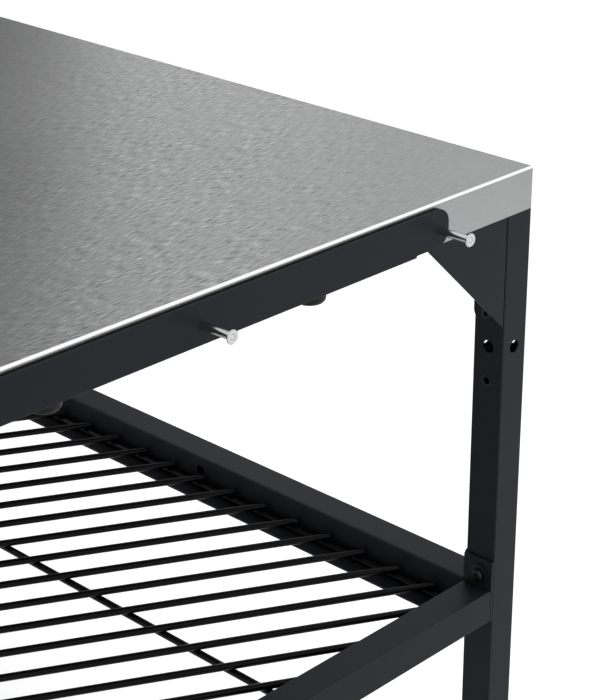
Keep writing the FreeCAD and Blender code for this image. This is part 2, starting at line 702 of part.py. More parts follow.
def make_pegs():
    """Three polished pegs, riveted into the rail, with a dimpled round head."""
    tip = PEG_LENGTH
    neck = tip - PEG_HEAD
    edge = PEG_HEAD * 0.3
    profile = [
        (0, -PEG_RAIL_SHEET - PEG_RIVET),
        (PEG_RIVET_RADIUS, -PEG_RAIL_SHEET - PEG_RIVET),
        (PEG_RIVET_RADIUS, -PEG_RAIL_SHEET),
        (PEG_SPIGOT_RADIUS, -PEG_RAIL_SHEET),
        (PEG_SPIGOT_RADIUS, 0),
        (PEG_RADIUS, 0),
        (PEG_RADIUS, neck - edge),
        (PEG_RADIUS + edge, neck),
        (PEG_HEAD_RADIUS - edge, neck),
        (PEG_HEAD_RADIUS, neck + edge),
        (PEG_HEAD_RADIUS, tip - edge),
        (PEG_HEAD_RADIUS - edge, tip),
        (PEG_DIMPLE_RADIUS, tip),
        (PEG_DIMPLE_RADIUS * 0.6, tip - PEG_DIMPLE_DEPTH),
        (0, tip - PEG_DIMPLE_DEPTH),
    ]
    z = HEIGHT - PEG_DROP
    save("pegs", *[turned(profile, (i * PEG_PITCH, PEG_FACE, z), (0, -1, 0)) for i in (-1, 0, 1)])


def knob_nuts():
    """The nuts inside the front rail that the knobs screw into."""
    low = SKIRT_BOTTOM + TUBE_WALL
    bore = KNOB_STUD_RADIUS + THREAD_FIT
    nuts = []
    for x in (-KNOB_X, KNOB_X):
        nuts.append(ring(NUT_RADIUS, bore, (x, LEG_Y, low), (x, LEG_Y, low + KNOB_NUT_LENGTH)))
    return nuts


def make_knobs():
    """Round knobs under the lip, each with its stud and its washer."""
    seat = LIP_BOTTOM - KNOB_WASHER
    for name, sx in (("left", -1), ("right", 1)):
        x = sx * KNOB_X
        body = KNOB_HEIGHT - KNOB_NECK
        profile = [(0, 0), (KNOB_NECK_RADIUS, 0), (KNOB_NECK_RADIUS, KNOB_NECK)]
        profile.append((KNOB_RADIUS - 1, KNOB_NECK))
        profile.append((KNOB_RADIUS, KNOB_NECK + 1))
        steps = 5
        for i in range(steps + 1):
            angle = math.radians(90.0 * i / steps)
            radius = KNOB_RADIUS - KNOB_ROUND * (1 - math.cos(angle))
            height = KNOB_NECK + body - KNOB_ROUND * (1 - math.sin(angle))
            profile.append((radius, height))
        profile.append((0, KNOB_HEIGHT))
        knob = turned(profile, (x, LEG_Y, seat), (0, 0, -1))
        knob = knob.fuse(rod(KNOB_STUD_RADIUS, (x, LEG_Y, seat - 1), (x, LEG_Y, seat + KNOB_STUD_LENGTH)))
        save("knob_" + name, knob)
        bore = KNOB_STUD_RADIUS + KNOB_HOLE_FIT
        washer = ring(KNOB_WASHER_RADIUS, bore, (x, LEG_Y, seat), (x, LEG_Y, LIP_BOTTOM))
        save("knob_washer_" + name, washer)


def castor_stem():
    """What a castor hangs from: threaded stem, nut, bearing race and rivet, about X and Y zero."""
    race_low = CROWN_HEIGHT + HEAD_HEIGHT + SWIVEL_GAP
    race_top = race_low + RACE_HEIGHT
    head_low = CROWN_HEIGHT - CROWN_SHEET - SWIVEL_GAP
    stem = rod(STEM_RADIUS, (0, 0, race_top), (0, 0, LEG_BOTTOM + STEM_LENGTH))
    corners = []
    for i in range(7):
        angle = math.radians(60.0 * i)
        reach = STEM_NUT / math.sqrt(3)
        corners.append(vec(reach * math.cos(angle), reach * math.sin(angle), race_top))
    nut = Part.Face(Part.makePolygon(corners)).extrude(vec(0, 0, STEM_NUT_HEIGHT))
    race = rod(RACE_RADIUS, (0, 0, race_low), (0, 0, race_top))
    pin = rod(HEAD_BORE - SWIVEL_FIT, (0, 0, head_low - RIVET_HEIGHT), (0, 0, race_low + 1))
    rivet = rod(RIVET_RADIUS, (0, 0, head_low - RIVET_HEIGHT), (0, 0, head_low))
    return stem.fuse([nut, race, pin, rivet])


def castor_fork():
    """Swivel head, crown and two cheeks. The wheel trails towards -X."""
    inner = WHEEL_WIDTH / 2 + CHEEK_GAP
    outer = inner + CHEEK
    side = BRAKE_PIVOT_BACK + BRAKE_HUB_RADIUS + 2
    hip = BRAKE_PIVOT_HEIGHT - BRAKE_HUB_RADIUS - 3
    outline = [
        (CROWN_BACK, CROWN_HEIGHT),
        (CROWN_BACK, hip),
        (-TRAIL + CHEEK_BOSS_RADIUS * 0.98, WHEEL_RADIUS - 2),
        (-TRAIL - CHEEK_BOSS_RADIUS * 0.98, WHEEL_RADIUS - 2),
        (-side, hip),
        (-side, CROWN_HEIGHT),
    ]
    pieces = []
    for sy in (-1, 1):
        cheek = plate(outline, CHEEK, "y")
        cheek.translate(vec(0, inner if sy > 0 else -outer, 0))
        boss = rod(
            CHEEK_BOSS_RADIUS,
            (-TRAIL, sy * inner, WHEEL_RADIUS),
            (-TRAIL, sy * outer, WHEEL_RADIUS),
        )
        pieces.extend([cheek, boss])
    crown_end = -BRAKE_PIVOT_BACK + BRAKE_HUB_RADIUS + BRAKE_LOBE
    crown = box((crown_end, -outer, CROWN_HEIGHT - CROWN_SHEET), (CROWN_BACK, outer, CROWN_HEIGHT))
    top = CROWN_HEIGHT + HEAD_HEIGHT
    profile = [
        (0, CROWN_HEIGHT - CROWN_SHEET / 2),
        (HEAD_RADIUS - 1, CROWN_HEIGHT - CROWN_SHEET / 2),
        (HEAD_RADIUS, CROWN_HEIGHT + 1),
        (HEAD_RADIUS, top - 3),
        (HEAD_RADIUS - 3, top),
        (0, top),
    ]
    head = turned(profile, (0, 0, 0), (0, 0, 1))
    fork = crown.fuse(pieces + [head]).removeSplitter()
    fork = fork.cut(rod(HEAD_BORE, (0, 0, 0), (0, 0, top + 1)))
    wide = outer + 1
    axle_hole = rod(AXLE_RADIUS + AXLE_FIT, (-TRAIL, -wide, WHEEL_RADIUS), (-TRAIL, wide, WHEEL_RADIUS))
    pivot = (-BRAKE_PIVOT_BACK, BRAKE_PIVOT_HEIGHT)
    pin_hole = rod(BRAKE_PIN_RADIUS + AXLE_FIT, (pivot[0], -wide, pivot[1]), (pivot[0], wide, pivot[1]))
    return fork.cut([axle_hole, pin_hole])


def castor_axle():
    """Axle bolt through the fork, with its head on one side and its nut on the other."""
    outer = WHEEL_WIDTH / 2 + CHEEK_GAP + CHEEK
    shaft = rod(AXLE_RADIUS, (-TRAIL, -outer - 1, WHEEL_RADIUS), (-TRAIL, outer + 1, WHEEL_RADIUS))
    heads = []
    for sy in (-1, 1):
        start = (-TRAIL, sy * outer, WHEEL_RADIUS)
        end = (-TRAIL, sy * (outer + AXLE_HEAD), WHEEL_RADIUS)
        heads.append(rod(AXLE_HEAD_RADIUS, start, end))
    return shaft.fuse(heads)


def castor_hub():
    """Moulded wheel centre: rim, thin web and boss, spun about the axle."""
    half = WHEEL_WIDTH / 2
    bore = AXLE_RADIUS + AXLE_FIT
    rim_in = HUB_RADIUS - HUB_RIM
    profile = [
        (bore, -half - CHEEK_GAP + SWIVEL_GAP),
        (HUB_BOSS_RADIUS, -half - CHEEK_GAP + SWIVEL_GAP),
        (HUB_BOSS_RADIUS, -HUB_WEB / 2),
        (rim_in, -HUB_WEB / 2),
        (rim_in, -half + 1),
        (HUB_RADIUS, -half + 1),
        (HUB_RADIUS, half - 1),
        (rim_in, half - 1),
        (rim_in, HUB_WEB / 2),
        (HUB_BOSS_RADIUS, HUB_WEB / 2),
        (HUB_BOSS_RADIUS, half + CHEEK_GAP - SWIVEL_GAP),
        (bore, half + CHEEK_GAP - SWIVEL_GAP),
    ]
    return turned(profile, (-TRAIL, 0, WHEEL_RADIUS), (0, 1, 0))


def castor_tyre():
    """Rubber tread round the wheel centre, with rounded shoulders."""
    half = WHEEL_WIDTH / 2
    profile = [(HUB_RADIUS, half - 1), (HUB_RADIUS, -half + 1), (HUB_RADIUS + 1, -half)]
    steps = 5
    for sign in (-1, 1):
        for i in range(steps + 1):
            angle = math.radians(90.0 * (i if sign < 0 else steps - i) / steps)
            radius = WHEEL_RADIUS - TYRE_SHOULDER * (1 - math.sin(angle))
            across = sign * (half - TYRE_SHOULDER * (1 - math.cos(angle)))
            profile.append((radius, across))
    profile.append((HUB_RADIUS + 1, half))
    return turned(profile, (-TRAIL, 0, WHEEL_RADIUS), (0, 1, 0))


def castor_brake():
    """Foot pedal with a cam over the tyre, turning on a pin through both cheeks."""
    x = -BRAKE_PIVOT_BACK
    z = BRAKE_PIVOT_HEIGHT
    inner = WHEEL_WIDTH / 2 + CHEEK_GAP
    half = inner - BRAKE_SIDE_GAP
    hub = rod(BRAKE_HUB_RADIUS, (x, -half, z), (x, half, z))
    pin = rod(BRAKE_PIN_RADIUS, (x, -inner - CHEEK, z), (x, inner + CHEEK, z))
    to_wheel = math.atan2(WHEEL_RADIUS - z, -TRAIL - x)
    angle = to_wheel - math.radians(BRAKE_TRAVEL)
    cam_x = x + (BRAKE_LOBE - BRAKE_PIN_RADIUS) * math.cos(angle)
    cam_z = z + (BRAKE_LOBE - BRAKE_PIN_RADIUS) * math.sin(angle)
    cam_half = half / 2
    cam = rod(BRAKE_PIN_RADIUS, (cam_x, -cam_half, cam_z), (cam_x, cam_half, cam_z))
    top = z + BRAKE_HUB_RADIUS
    outline = [
        (x, top),
        (x, top - BRAKE_PEDAL),
        (x - BRAKE_PEDAL_LENGTH, top - BRAKE_PEDAL * 2.2),
        (x - BRAKE_PEDAL_LENGTH - 3, top - BRAKE_PEDAL * 1.6),
        (x - BRAKE_PEDAL_LENGTH, top - BRAKE_PEDAL),
    ]
    pedal = plate(outline, 2 * half, "y")
    pedal.translate(vec(0, -half, 0))
    return hub.fuse([pin, cam, pedal])


def make_castors():
    """A castor under each leg, wheels trailing inwards, with the plug that holds its stem."""
    inside = TUBE - 2 * TUBE_WALL - 2 * PLUG_FIT
    flange = Part.Face(rounded_outline(TUBE, TUBE, TUBE_CORNER)).extrude(vec(0, 0, PLUG_FLANGE))
    inner_corner = max(TUBE_CORNER - TUBE_WALL, TUBE_CORNER / 4)
    core = Part.Face(rounded_outline(inside, inside, inner_corner))
    core = core.extrude(vec(0, 0, PLUG_FLANGE + PLUG_DEPTH))
    bore = rod(STEM_RADIUS + THREAD_FIT, (0, 0, -1), (0, 0, PLUG_FLANGE + PLUG_DEPTH + 1))
    plug = flange.fuse(core).cut(bore)
    plug.translate(vec(LEG_X, LEG_Y, CASTOR_HEIGHT))
    save("leg_plugs", *at_legs(plug).values())
    stem = castor_stem()
    stem.translate(vec(LEG_X, LEG_Y, 0))
    save("castor_stems", *at_legs(stem).values())
    makers = {
        "castor_fork_": castor_fork,
        "castor_axle_": castor_axle,
        "wheel_hub_": castor_hub,
        "wheel_tyre_": castor_tyre,
        "brake_pedal_": castor_brake,
    }
    for name, maker in makers.items():
        shape = maker()
        shape.translate(vec(LEG_X, LEG_Y, 0))
        for corner, copy in at_legs(shape).items():
            save(name + corner, copy)


os.makedirs("parts", exist_ok=True)
make_worktop()
make_crossbars()
make_top_rails()
make_legs()
make_gussets_and_bolts()
make_shelf_frame()
make_rack()
make_peg_rail()
make_pegs()
make_knobs()
make_castors()
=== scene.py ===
# %% [markdown]
# # The outdoor oven table, dressed for its photograph
#
# The table is a steel worktop on a powder-coated tube frame, with a shelf of
# slanting wires, a peg rail along the front and a locking castor under each leg.
# Its exact shape comes from a CAD model. This script loads that model as a fixed
# frame, gives every part a finish that is built from nodes, and adds the small
# details that a CAD model leaves out: welds, bolt heads, ribs and grips.
#
# All lengths are in metres, and the frame is the CAD model's own. X runs along
# the front to the right, Y runs to the back and Z runs up from the floor.

# %% The CAD frame
import json
import math

import bmesh
import bpy
from mathutils import Matrix, Vector


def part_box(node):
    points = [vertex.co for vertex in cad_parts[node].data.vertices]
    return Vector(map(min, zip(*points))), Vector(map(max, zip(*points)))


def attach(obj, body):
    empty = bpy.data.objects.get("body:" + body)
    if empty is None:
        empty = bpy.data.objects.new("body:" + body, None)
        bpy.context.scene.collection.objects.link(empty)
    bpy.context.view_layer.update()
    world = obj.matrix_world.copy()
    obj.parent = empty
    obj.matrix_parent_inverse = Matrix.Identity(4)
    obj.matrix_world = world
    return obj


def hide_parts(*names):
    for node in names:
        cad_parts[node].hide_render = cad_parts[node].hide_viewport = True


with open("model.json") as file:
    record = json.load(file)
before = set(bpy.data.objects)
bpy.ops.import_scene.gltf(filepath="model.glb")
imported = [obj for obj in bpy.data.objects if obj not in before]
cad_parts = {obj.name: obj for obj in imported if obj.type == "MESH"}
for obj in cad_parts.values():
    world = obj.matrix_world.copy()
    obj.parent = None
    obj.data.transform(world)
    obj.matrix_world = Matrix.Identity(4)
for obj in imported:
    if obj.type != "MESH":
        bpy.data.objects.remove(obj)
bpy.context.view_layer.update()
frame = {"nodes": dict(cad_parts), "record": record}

# %% [markdown]
# ## Where things are
#
# A detail only looks right when it sits exactly on what carries it. Typing them
# in as numbers would be quicker, but one change of the model would leave every
# detail behind.


# %% Places read off the model
def span(node):
    """Middle and size of a CAD node's box."""
    low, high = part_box(node)
    return (low + high) / 2, high - low


CORNERS = ("front_right", "front_left", "back_right", "back_left")
SIDES = (("front", 0), ("back", 0), ("left", 1), ("right", 1))  # and the axis that each runs along
leg_axis = {corner: span("leg_" + corner)[0] for corner in CORNERS}
wheel_centre = {corner: span("wheel_tyre_" + corner)[0] for corner in CORNERS}
for corner in CORNERS:
    print(corner, "leg at", [round(v, 4) for v in leg_axis[corner]])
print("leg tube:", round(span("leg_front_right")[1].x * 1000, 1), "mm square")

# %% [markdown]
# ## Wiring nodes without clutter
#
# A finish is a small network of shader nodes. Made by hand in the editor, each
# one takes a few clicks. In a script a few short helpers keep it readable: one
# adds a node and joins its inputs, one does arithmetic, one mixes two colours.
# Anything handed to an input is either another node's output, which gets a
# wire, or a plain number, which is typed into the socket.


# %% Helpers for shader nodes
def add_node(tree, kind, inputs=None, **settings):
    node = tree.nodes.new("ShaderNode" + kind)
    for name, value in settings.items():
        setattr(node, name, value)
    for socket, value in (inputs or {}).items():
        if isinstance(value, bpy.types.NodeSocket):
            tree.links.new(value, node.inputs[socket])
        else:
            node.inputs[socket].default_value = value
    return node


def reckon(tree, operation, *values, clamp=False):
    inputs = dict(enumerate(values))
    return add_node(tree, "Math", inputs, operation=operation, use_clamp=clamp).outputs[0]


def times(tree, first, second, clamp=False):
    return reckon(tree, "MULTIPLY", first, second, clamp=clamp)


def plus(tree, first, second, clamp=False):
    return reckon(tree, "ADD", first, second, clamp=clamp)


def split(tree, vector):
    """X, Y and Z of a vector, each as an output of its own."""
    return add_node(tree, "SeparateXYZ", {0: vector}).outputs


def blend_range(tree, value, low, high):
    """Turn a 0 to 1 value into one from low to high."""
    return add_node(tree, "MapRange", {"Value": value, "To Min": low, "To Max": high}).outputs[0]


def mix_colors(tree, share, first, second):
    """The first colour where share is 0, the second where it is 1."""
    mix = add_node(tree, "Mix", data_type="RGBA")
    sockets = {s.name: s for s in mix.inputs if s.enabled}
    for name, given in (("Factor", share), ("A", first), ("B", second)):
        if isinstance(given, bpy.types.NodeSocket):
            tree.links.new(given, sockets[name])
        else:
            sockets[name].default_value = (*given, 1)
    return next(s for s in mix.outputs if s.enabled)


# %% [markdown]
# ## Effects that several finishes share
#
# Edge wear, bends, grain, brushing and dust turn up on more than one finish.
# Each is built once as a node group, and each material places it with its own
# numbers. The groups give out plain masks, values and normals, and the shader
# itself stays in the material, where an exporter can read it. Two helpers start
# a group and place it. An input whose value is None is a vector, which every
# material has to wire up.


# %% Helpers that start and place a node group
def start_group(name, inputs, outputs):
    group = bpy.data.node_groups.new(name, "ShaderNodeTree")
    for label, value in inputs.items():
        kind = "NodeSocketVector" if value is None else "NodeSocketFloat"
        socket = group.interface.new_socket(label, in_out="INPUT", socket_type=kind)
        if value is not None:
            socket.default_value = value
    for label, kind in outputs.items():
        group.interface.new_socket(label, in_out="OUTPUT", socket_type="NodeSocket" + kind)
    given = group.nodes.new("NodeGroupInput").outputs
    out = group.nodes.new("NodeGroupOutput").inputs
    return group, given, out


def use_group(tree, group, **values):
    node = tree.nodes.new("ShaderNodeGroup")
    node.node_tree = group
    for name, value in values.items():
        socket = node.inputs[name]
        if isinstance(value, bpy.types.NodeSocket):
            tree.links.new(value, socket)
        else:
            socket.default_value = value
    return node.outputs


def tell(group):
    print("group", group.name, "has", [s.name for s in group.interface.items_tree])


# %% [markdown]
# ### Edges
#
# No real edge is a mathematical line. Sheet metal has a broken burr, and paint
# runs thin over a corner. A bevel modifier would have to change the CAD meshes.
# The Bevel node does it in shading instead: it gives the normal of a softly
# rounded edge, and where that differs from the true normal, there is an edge. A
# little noise breaks the mask up so the wear is uneven.

# %% Edge group
EDGE_CONTRAST = 5.0

edge_group, given, out = start_group(
    "soft_edges", {"Width": 0.0012, "Breakup": 0.5}, {"Mask": "Float", "Normal": "Vector"}
)
rounded = add_node(edge_group, "Bevel", {"Radius": given["Width"]}, samples=4).outputs[0]
true_normal = add_node(edge_group, "NewGeometry").outputs["Normal"]
agree = add_node(edge_group, "VectorMath", {0: rounded, 1: true_normal}, operation="DOT_PRODUCT").outputs["Value"]
sharp = times(edge_group, reckon(edge_group, "SUBTRACT", 1.0, agree), EDGE_CONTRAST, clamp=True)
place = add_node(edge_group, "TexCoord").outputs["Object"]
patchy = add_node(edge_group, "TexNoise", {"Vector": place, "Scale": 60.0, "Detail": 3.0}).outputs[0]
kept = reckon(edge_group, "SUBTRACT", 1.0, times(edge_group, patchy, given["Breakup"]))
edge_group.links.new(times(edge_group, sharp, kept), out["Mask"])
edge_group.links.new(rounded, out["Normal"])
tell(edge_group)

# %% [markdown]
# ### Bends and tube corners
#
# A folded sheet and a drawn tube have real round corners in the CAD model, and
# they catch the light in a line of their own. The Bevel node sees nothing sharp
# there. But the table is square to its axes, so on a flat face one component of
# the normal is 1, and on a bend even the largest one falls short of that. The
# mask is that shortfall. Upward tells the corners that face up from the rest.
# The finishes use this mask to paint that line of light into the colour, as a painted highlight.

# %% Bend group
bend_group, given, out = start_group(
    "round_bends", {"Flatness": 0.97, "Contrast": 12.0}, {"Mask": "Float", "Upward": "Float"}
)
facing = split(bend_group, add_node(bend_group, "TexCoord").outputs["Normal"])
largest = reckon(bend_group, "ABSOLUTE", facing["X"])
for axis in ("Y", "Z"):
    largest = reckon(bend_group, "MAXIMUM", largest, reckon(bend_group, "ABSOLUTE", facing[axis]))
shortfall = reckon(bend_group, "SUBTRACT", given["Flatness"], largest)
bend_group.links.new(times(bend_group, shortfall, given["Contrast"], clamp=True), out["Mask"])
bend_group.links.new(times(bend_group, facing["Z"], 2.0, clamp=True), out["Upward"])
tell(bend_group)

# %% [markdown]
# ### Fine grain
#
# Powder coat is sprayed on as dust and melted in an oven, which leaves a skin
# with tiny dimples, and moulded plastic is given much the same texture by its
# mould. Two sizes of noise make it: dimples under a millimetre across, and a
# slow unevenness a hand's breadth wide that only shifts the tone.

# %% Grain group
DIMPLE_SHARE = 0.45
PATCH_SHARE = 1 - DIMPLE_SHARE

grain_group, given, out = start_group(
    "fine_grain", {"Dimples": 900.0, "Patches": 14.0}, {"Height": "Float", "Tone": "Float"}
)
place = add_node(grain_group, "TexCoord").outputs["Object"]
dimples = add_node(
    grain_group, "TexNoise", {"Vector": place, "Scale": given["Dimples"], "Detail": 2.0, "Roughness": 0.6}
).outputs[0]
patches = add_node(
    grain_group, "TexNoise", {"Vector": place, "Scale": given["Patches"], "Detail": 3.0, "Roughness": 0.55}
).outputs[0]
spotted = times(grain_group, dimples, DIMPLE_SHARE)
slow = times(grain_group, patches, PATCH_SHARE)
grain_group.links.new(dimples, out["Height"])
grain_group.links.new(plus(grain_group, spotted, slow), out["Tone"])
tell(grain_group)

# %% [markdown]
# ### Brushing
#
# A brushed sheet has been drawn under an abrasive belt, which leaves short
# scratches that all run one way. Noise stretched along that way gives them. The
# photograph shows two sizes, soft strokes 15 to 20 mm long and hair lines, so
# the group mixes both, and a third, broad noise lets the strokes come and go.
# The group takes its own coordinates, because a folded sheet carries its
# brushing round the bend.

# %% Brushing group
STROKES = (44.0, 480.0, 480.0)  # how often a metre the noise changes, along and across
HAIRS = (30.0, 2600.0, 2600.0)
FIELDS = (6.0, 12.0, 12.0)
HAIR_SHARE = 0.3

brush_group, given, out = start_group(
    "brushed_strokes", {"Vector": None, "Stroke": 1.0}, {"Height": "Float", "Tone": "Float"}
)
scaled = add_node(
    brush_group, "VectorMath", {0: given["Vector"], "Scale": given["Stroke"]}, operation="SCALE"
).outputs[0]


def stretched_noise(stretch, **sockets):
    vector = add_node(brush_group, "VectorMath", {0: scaled, 1: stretch}, operation="MULTIPLY").outputs[0]
    return add_node(brush_group, "TexNoise", {"Vector": vector, "Scale": 1.0, **sockets}).outputs[0]


strokes = stretched_noise(STROKES, Detail=2.5, Roughness=0.55)
hairs = stretched_noise(HAIRS, Detail=1.0)
depth = blend_range(brush_group, stretched_noise(FIELDS, Detail=2.0), 0.25, 1.35)
centred = reckon(brush_group, "SUBTRACT", strokes, 0.5)
tone = plus(brush_group, times(brush_group, centred, depth), 0.5)
fine = times(brush_group, hairs, HAIR_SHARE)
brush_group.links.new(plus(brush_group, times(brush_group, tone, 1 - HAIR_SHARE), fine), out["Height"])
brush_group.links.new(tone, out["Tone"])
tell(brush_group)

# %% [markdown]
# ### Dust
#
# A table that stands outdoors is never quite clean. Dust lies only where a
# surface faces up, so the mask is the upward part of the normal times a patchy
# noise. It is kept faint, because the photograph shows a new table.

# %% Dust group
dust_group, given, out = start_group("settled_dust", {"Amount": 0.1}, {"Mask": "Float"})
upward = split(dust_group, add_node(dust_group, "NewGeometry").outputs["Normal"])["Z"]
place = add_node(dust_group, "TexCoord").outputs["Object"]
cloudy = add_node(
    dust_group, "TexNoise", {"Vector": place, "Scale": 22.0, "Detail": 5.0, "Roughness": 0.65}
).outputs[0]
lying = times(dust_group, reckon(dust_group, "MAXIMUM", upward, 0.0), cloudy)
dust_group.links.new(times(dust_group, lying, given["Amount"]), out["Mask"])
tell(dust_group)

# %% [markdown]
# ## Finishes
#
# Each finish starts from a Principled shader. Numbers that are the same all over
# are typed into its sockets, and only what changes over the surface is wired.
# One helper makes the start, a second ends it with a bump on softened edges.


# %% Helpers that start and end a finish
finishes = {}


def start_finish(slot, **sockets):
    material = bpy.data.materials.new(slot + "_finish")
    material.use_nodes = True
    shader = material.node_tree.nodes["Principled BSDF"]
    for name, value in sockets.items():
        shader.inputs[name.replace("_", " ")].default_value = value
    finishes[slot] = material
    return material.node_tree, shader


def end_finish(tree, shader, color, roughness, height, bump, edge_normal):
    strength, distance = bump
    raised = {"Height": height, "Strength": strength, "Distance": distance, "Normal": edge_normal}
    tree.links.new(color, shader.inputs["Base Color"])
    tree.links.new(roughness, shader.inputs["Roughness"])
    tree.links.new(add_node(tree, "Bump", raised).outputs[0], shader.inputs["Normal"])
    print("finish with", len(tree.nodes), "nodes")


# %% [markdown]
# ### The worktop's brushed steel
#
# The top is one sheet of stainless steel, brushed along its length and then
# folded down all round. On the top, front and back the strokes run along X. On
# the two side skirts the same strokes turn down with the fold, so there they
# run along Z. The material works out the sheet's own two directions from the
# object's normal and feeds them to the brushing.

# %% The sheet's own directions
TURNED = 0.7  # a face counts as turned to an axis from this much of its normal

tree, shader = start_finish("worktop_steel", Metallic=1.0, Anisotropic=0.35)
coordinates = add_node(tree, "TexCoord").outputs
at = split(tree, coordinates["Object"])
facing = split(tree, coordinates["Normal"])
on_top = reckon(tree, "GREATER_THAN", facing["Z"], TURNED)
on_side = reckon(tree, "GREATER_THAN", reckon(tree, "ABSOLUTE", facing["X"]), TURNED)
on_rest = reckon(tree, "SUBTRACT", 1.0, on_side)
along = plus(tree, times(tree, at["Z"], on_side), times(tree, at["X"], on_rest))
across = plus(tree, at["Y"], times(tree, at["Z"], on_rest))
sheet_place = add_node(tree, "CombineXYZ", {"X": along, "Y": across}).outputs[0]
print("sheet directions from", len(tree.nodes), "nodes")

# %% [markdown]
# The strokes are bold across the middle of the photograph and fade towards the
# corners, since the belt never presses evenly. A slow wave, which runs slantwise
# over the sheet, makes them bite more or less. On the skirts they are faint. The
# tone then goes from a darker to a paler steel, and the dark end is rougher. The
# skirts are set paler than the top of the same sheet, which is painted light: it
# stands in for the brighter light that their faces catch.

# %% Strokes that come and go
PRESS_RUN = (0.69, 0.72)  # the wave's direction, to the right and to the front
PRESS_MIDDLE = 0.32
PRESS_TURNS = 8.7  # radians a metre, so the pressure comes back every 0.72 m
BITE_WAVE, BITE_LEVEL, BITE_ON_SKIRT = 1.4, 1.7, 0.15
CLOUDS = 0.25
DARK_STEEL, PALE_STEEL = (0.12, 0.121, 0.125), (0.54, 0.543, 0.548)

brushed = use_group(tree, brush_group, Vector=sheet_place, Stroke=1.6)
grain = use_group(tree, grain_group, Dimples=500.0, Patches=5.0)
slant = reckon(tree, "SUBTRACT", times(tree, at["X"], PRESS_RUN[0]), times(tree, at["Y"], PRESS_RUN[1]))
wave = reckon(tree, "COSINE", times(tree, reckon(tree, "SUBTRACT", slant, PRESS_MIDDLE), PRESS_TURNS))
bite = times(tree, on_top, plus(tree, times(tree, wave, BITE_WAVE), BITE_LEVEL))
streaked = times(tree, reckon(tree, "SUBTRACT", brushed["Tone"], 0.5), plus(tree, bite, BITE_ON_SKIRT))
clouded = times(tree, reckon(tree, "SUBTRACT", grain["Tone"], 0.5), CLOUDS)
# painted light: the skirts get a paler level than the top, for the light that falls on them
painted_light_level = blend_range(tree, on_top, 0.53, 0.44)
contrast = plus(tree, plus(tree, streaked, clouded), painted_light_level, clamp=True)
sheet = mix_colors(tree, contrast, DARK_STEEL, PALE_STEEL)
print("pressure wave every", round(2 * math.pi / PRESS_TURNS, 2), "m")

# %% [markdown]
# The fold shines like a wire in a hard white line along the front. That line is a
# painted highlight: the bend group finds the fold, and the colour there goes to
# nearly white steel.

# %% The finish with its painted highlight on the bends
PAINTED_HIGHLIGHT_STEEL = (0.97, 0.97, 0.97)

edges = use_group(tree, edge_group, Width=0.0008, Breakup=0.3)
highlight_bends = use_group(tree, bend_group, Flatness=0.988, Contrast=60.0)
# painted highlight: the bends are coloured nearly white
color = mix_colors(tree, highlight_bends["Mask"], sheet, PAINTED_HIGHLIGHT_STEEL)
rough = blend_range(tree, contrast, 0.36, 0.24)
grooves = times(tree, brushed["Height"], blend_range(tree, on_top, BITE_ON_SKIRT, 1.0))
end_finish(tree, shader, color, rough, grooves, (0.25, 0.0006), edges["Normal"])

# %% [markdown]
# ### Powder coat
#
# The frame is charcoal powder coat. It is darker than it looks: most of what the
# eye sees is a weak, broad sheen. The colour is nearly black with a breath of
# blue, and the dimples are fine. Its edges are painted a shade lighter, partly as
# wear where the coat runs thin and partly as a painted highlight, and the upper
# corners of the tubes get a painted highlight. Faint dust lies on what faces up.
# The wires have the same coat, thinner and glossier, and the castors' steel has a
# greyer one.


# %% Powder coat, also on the wires and castors
# the edges' paleness is part wear, part painted highlight; the corners' is painted highlight
EDGE_WEAR_AND_HIGHLIGHT = 0.6
PALE_COAT_AND_HIGHLIGHT = 5  # times as pale as the coat itself
DUST = (0.16, 0.15, 0.135)


def powder_coat(slot, dark, light, sheen, roughness, dimples, dust, corners):
    tree, shader = start_finish(slot, Specular_IOR_Level=sheen)
    grain = use_group(tree, grain_group, Dimples=dimples, Patches=14.0)
    edges = use_group(tree, edge_group, Width=0.0012, Breakup=0.6)
    highlight_bends = use_group(tree, bend_group, Flatness=0.97, Contrast=12.0)
    dusty = use_group(tree, dust_group, Amount=dust)
    coat = mix_colors(tree, grain["Tone"], dark, light)
    # painted highlight: the tubes' upper corners, and partly the edges, are painted paler; corners sets how much
    painted_corner_highlight = times(tree, times(tree, highlight_bends["Mask"], highlight_bends["Upward"]), corners)
    thin_coat_and_highlight = reckon(tree, "MAXIMUM", times(tree, edges["Mask"], EDGE_WEAR_AND_HIGHLIGHT), painted_corner_highlight)
    shaded = mix_colors(tree, thin_coat_and_highlight, coat, [PALE_COAT_AND_HIGHLIGHT * c for c in light])
    color = mix_colors(tree, dusty["Mask"], shaded, DUST)
    rough = blend_range(tree, grain["Tone"], roughness - 0.05, roughness + 0.06)
    end_finish(tree, shader, color, rough, grain["Height"], (0.22, 0.00025), edges["Normal"])


powder_coat(
    "frame_coat",
    dark=(0.0078, 0.0087, 0.0116),
    light=(0.0116, 0.0128, 0.0164),
    sheen=0.13,
    roughness=0.44,
    dimples=1100.0,
    dust=0.008,
    corners=0.35,
)
powder_coat(
    "wire_coat",
    dark=(0.001, 0.001, 0.0013),
    light=(0.002, 0.002, 0.0026),
    sheen=0.13,
    roughness=0.16,
    dimples=1300.0,
    dust=0.003,
    corners=0.0,
)
powder_coat(
    "castor_steel",
    dark=(0.009, 0.009, 0.0095),
    light=(0.016, 0.016, 0.0168),
    sheen=0.25,
    roughness=0.4,
    dimples=900.0,
    dust=0.08,
    corners=0.2,
)

# %% [markdown]
# ### Pegs, turned and polished
#
# The pegs are turned on a lathe and polished bright. What gives a turned part
# away is its rings: fine grooves round its own axis. The three pegs share one
# node, so the material folds X back on itself at the pegs' pitch, and the
# distance to the nearest peg's axis drives the rings.

